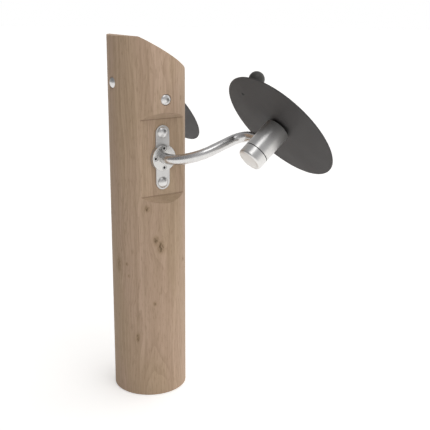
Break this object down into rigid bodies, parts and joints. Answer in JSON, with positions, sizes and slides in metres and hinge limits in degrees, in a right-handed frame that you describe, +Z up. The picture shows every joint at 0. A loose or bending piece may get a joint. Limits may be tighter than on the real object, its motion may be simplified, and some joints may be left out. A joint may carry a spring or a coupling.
{
  "type": "tai chi spinner",
  "caption": "Outdoor tai chi spinner: tilted hand discs with ball knobs turn on bent steel arms bolted to a slope-topped round wooden post.",
  "frame": {"origin": "centre of the post's foot, where its axis meets the ground", "axes": "+Z up along the post's axis; the user stands at -Y facing +Y, so -X is the user's left arm and +X the right arm"},
  "size_m": [1.1492, 0.5195, 1.21],
  "materials": {
    "pale_oak": "planed and oiled, fine vertical grain with small knots",
    "brushed_stainless_steel": "satin brushed stainless steel",
    "bearing_steel": "ground and lightly oiled steel",
    "black_oxide_steel": "blackened steel, lightly oiled",
    "dark_grey_plastic": "matte dark grey plastic with a fine grain"
  },
  "bodies": {
    "post_and_arms": {"post": "pale_oak", "side_tie_bolt": "brushed_stainless_steel", "side_tie_nut": "brushed_stainless_steel", "front_tie_bolt": "brushed_stainless_steel", "front_tie_nut": "brushed_stainless_steel", "upper_clamp_bolt": "brushed_stainless_steel", "upper_clamp_nut": "brushed_stainless_steel", "lower_clamp_bolt": "brushed_stainless_steel", "lower_clamp_nut": "brushed_stainless_steel", "mounting_plate_left": "brushed_stainless_steel", "arm_flange_left": "brushed_stainless_steel", "flange_screw_top_left": "brushed_stainless_steel", "flange_screw_bottom_left": "brushed_stainless_steel", "flange_screw_front_left": "brushed_stainless_steel", "flange_screw_back_left": "brushed_stainless_steel", "arm_tube_left": "brushed_stainless_steel", "hub_housing_left": "brushed_stainless_steel", "hub_cap_left": "brushed_stainless_steel", "front_bearing_outer_ring_left": "bearing_steel", "rear_bearing_outer_ring_left": "bearing_steel", "retaining_ring_left": "bearing_steel", "mounting_plate_right": "brushed_stainless_steel", "arm_flange_right": "brushed_stainless_steel", "flange_screw_top_right": "brushed_stainless_steel", "flange_screw_bottom_right": "brushed_stainless_steel", "flange_screw_front_right": "brushed_stainless_steel", "flange_screw_back_right": "brushed_stainless_steel", "arm_tube_right": "brushed_stainless_steel", "hub_housing_right": "brushed_stainless_steel", "hub_cap_right": "brushed_stainless_steel", "front_bearing_outer_ring_right": "bearing_steel", "rear_bearing_outer_ring_right": "bearing_steel", "retaining_ring_right": "bearing_steel"},
    "disc_left": {"disc_left": "dark_grey_plastic", "disc_clamp_left": "brushed_stainless_steel", "centre_screw_left": "brushed_stainless_steel", "knob_stem_left": "brushed_stainless_steel", "knob_screw_left": "black_oxide_steel", "spindle_left": "black_oxide_steel", "front_bearing_inner_ring_left": "bearing_steel", "rear_bearing_inner_ring_left": "bearing_steel", "bearing_spacer_left": "bearing_steel", "lock_nut_left": "bearing_steel"},
    "ball_set_left": {"front_bearing_balls_left": "bearing_steel", "rear_bearing_balls_left": "bearing_steel"},
    "knob_left": {"knob_ball_left": "dark_grey_plastic"},
    "disc_right": {"disc_right": "dark_grey_plastic", "disc_clamp_right": "brushed_stainless_steel", "centre_screw_right": "brushed_stainless_steel", "knob_stem_right": "brushed_stainless_steel", "knob_screw_right": "black_oxide_steel", "spindle_right": "black_oxide_steel", "front_bearing_inner_ring_right": "bearing_steel", "rear_bearing_inner_ring_right": "bearing_steel", "bearing_spacer_right": "bearing_steel", "lock_nut_right": "bearing_steel"},
    "ball_set_right": {"front_bearing_balls_right": "bearing_steel", "rear_bearing_balls_right": "bearing_steel"},
    "knob_right": {"knob_ball_right": "dark_grey_plastic"}
  },
  "joints": [
    {"name": "disc_spin_left", "type": "hinge", "parent": "post_and_arms", "child": "disc_left", "pos_m": [-0.37057, -0.25959, 0.93978], "axis": [0, -0.7771, 0.6293], "continuous": true},
    {"name": "ball_set_turn_left", "type": "hinge", "parent": "post_and_arms", "child": "ball_set_left", "pos_m": [-0.37057, -0.25959, 0.93978], "axis": [0, -0.7771, 0.6293], "continuous": true},
    {"name": "knob_spin_left", "type": "hinge", "parent": "disc_left", "child": "knob_left", "pos_m": [-0.28646, -0.17931, 1.03891], "axis": [0, -0.7771, 0.6293], "continuous": true},
    {"name": "disc_spin_right", "type": "hinge", "parent": "post_and_arms", "child": "disc_right", "pos_m": [0.37057, -0.25959, 0.93978], "axis": [0, -0.7771, 0.6293], "continuous": true},
    {"name": "ball_set_turn_right", "type": "hinge", "parent": "post_and_arms", "child": "ball_set_right", "pos_m": [0.37057, -0.25959, 0.93978], "axis": [0, -0.7771, 0.6293], "continuous": true},
    {"name": "knob_spin_right", "type": "hinge", "parent": "disc_right", "child": "knob_right", "pos_m": [0.28646, -0.17931, 1.03891], "axis": [0, -0.7771, 0.6293], "continuous": true}
  ],
  "couplings": [
    {"joint": "ball_set_turn_left", "follows": "disc_spin_left", "ratio": 0.4043},
    {"joint": "ball_set_turn_right", "follows": "disc_spin_right", "ratio": 0.4043}
  ]
}
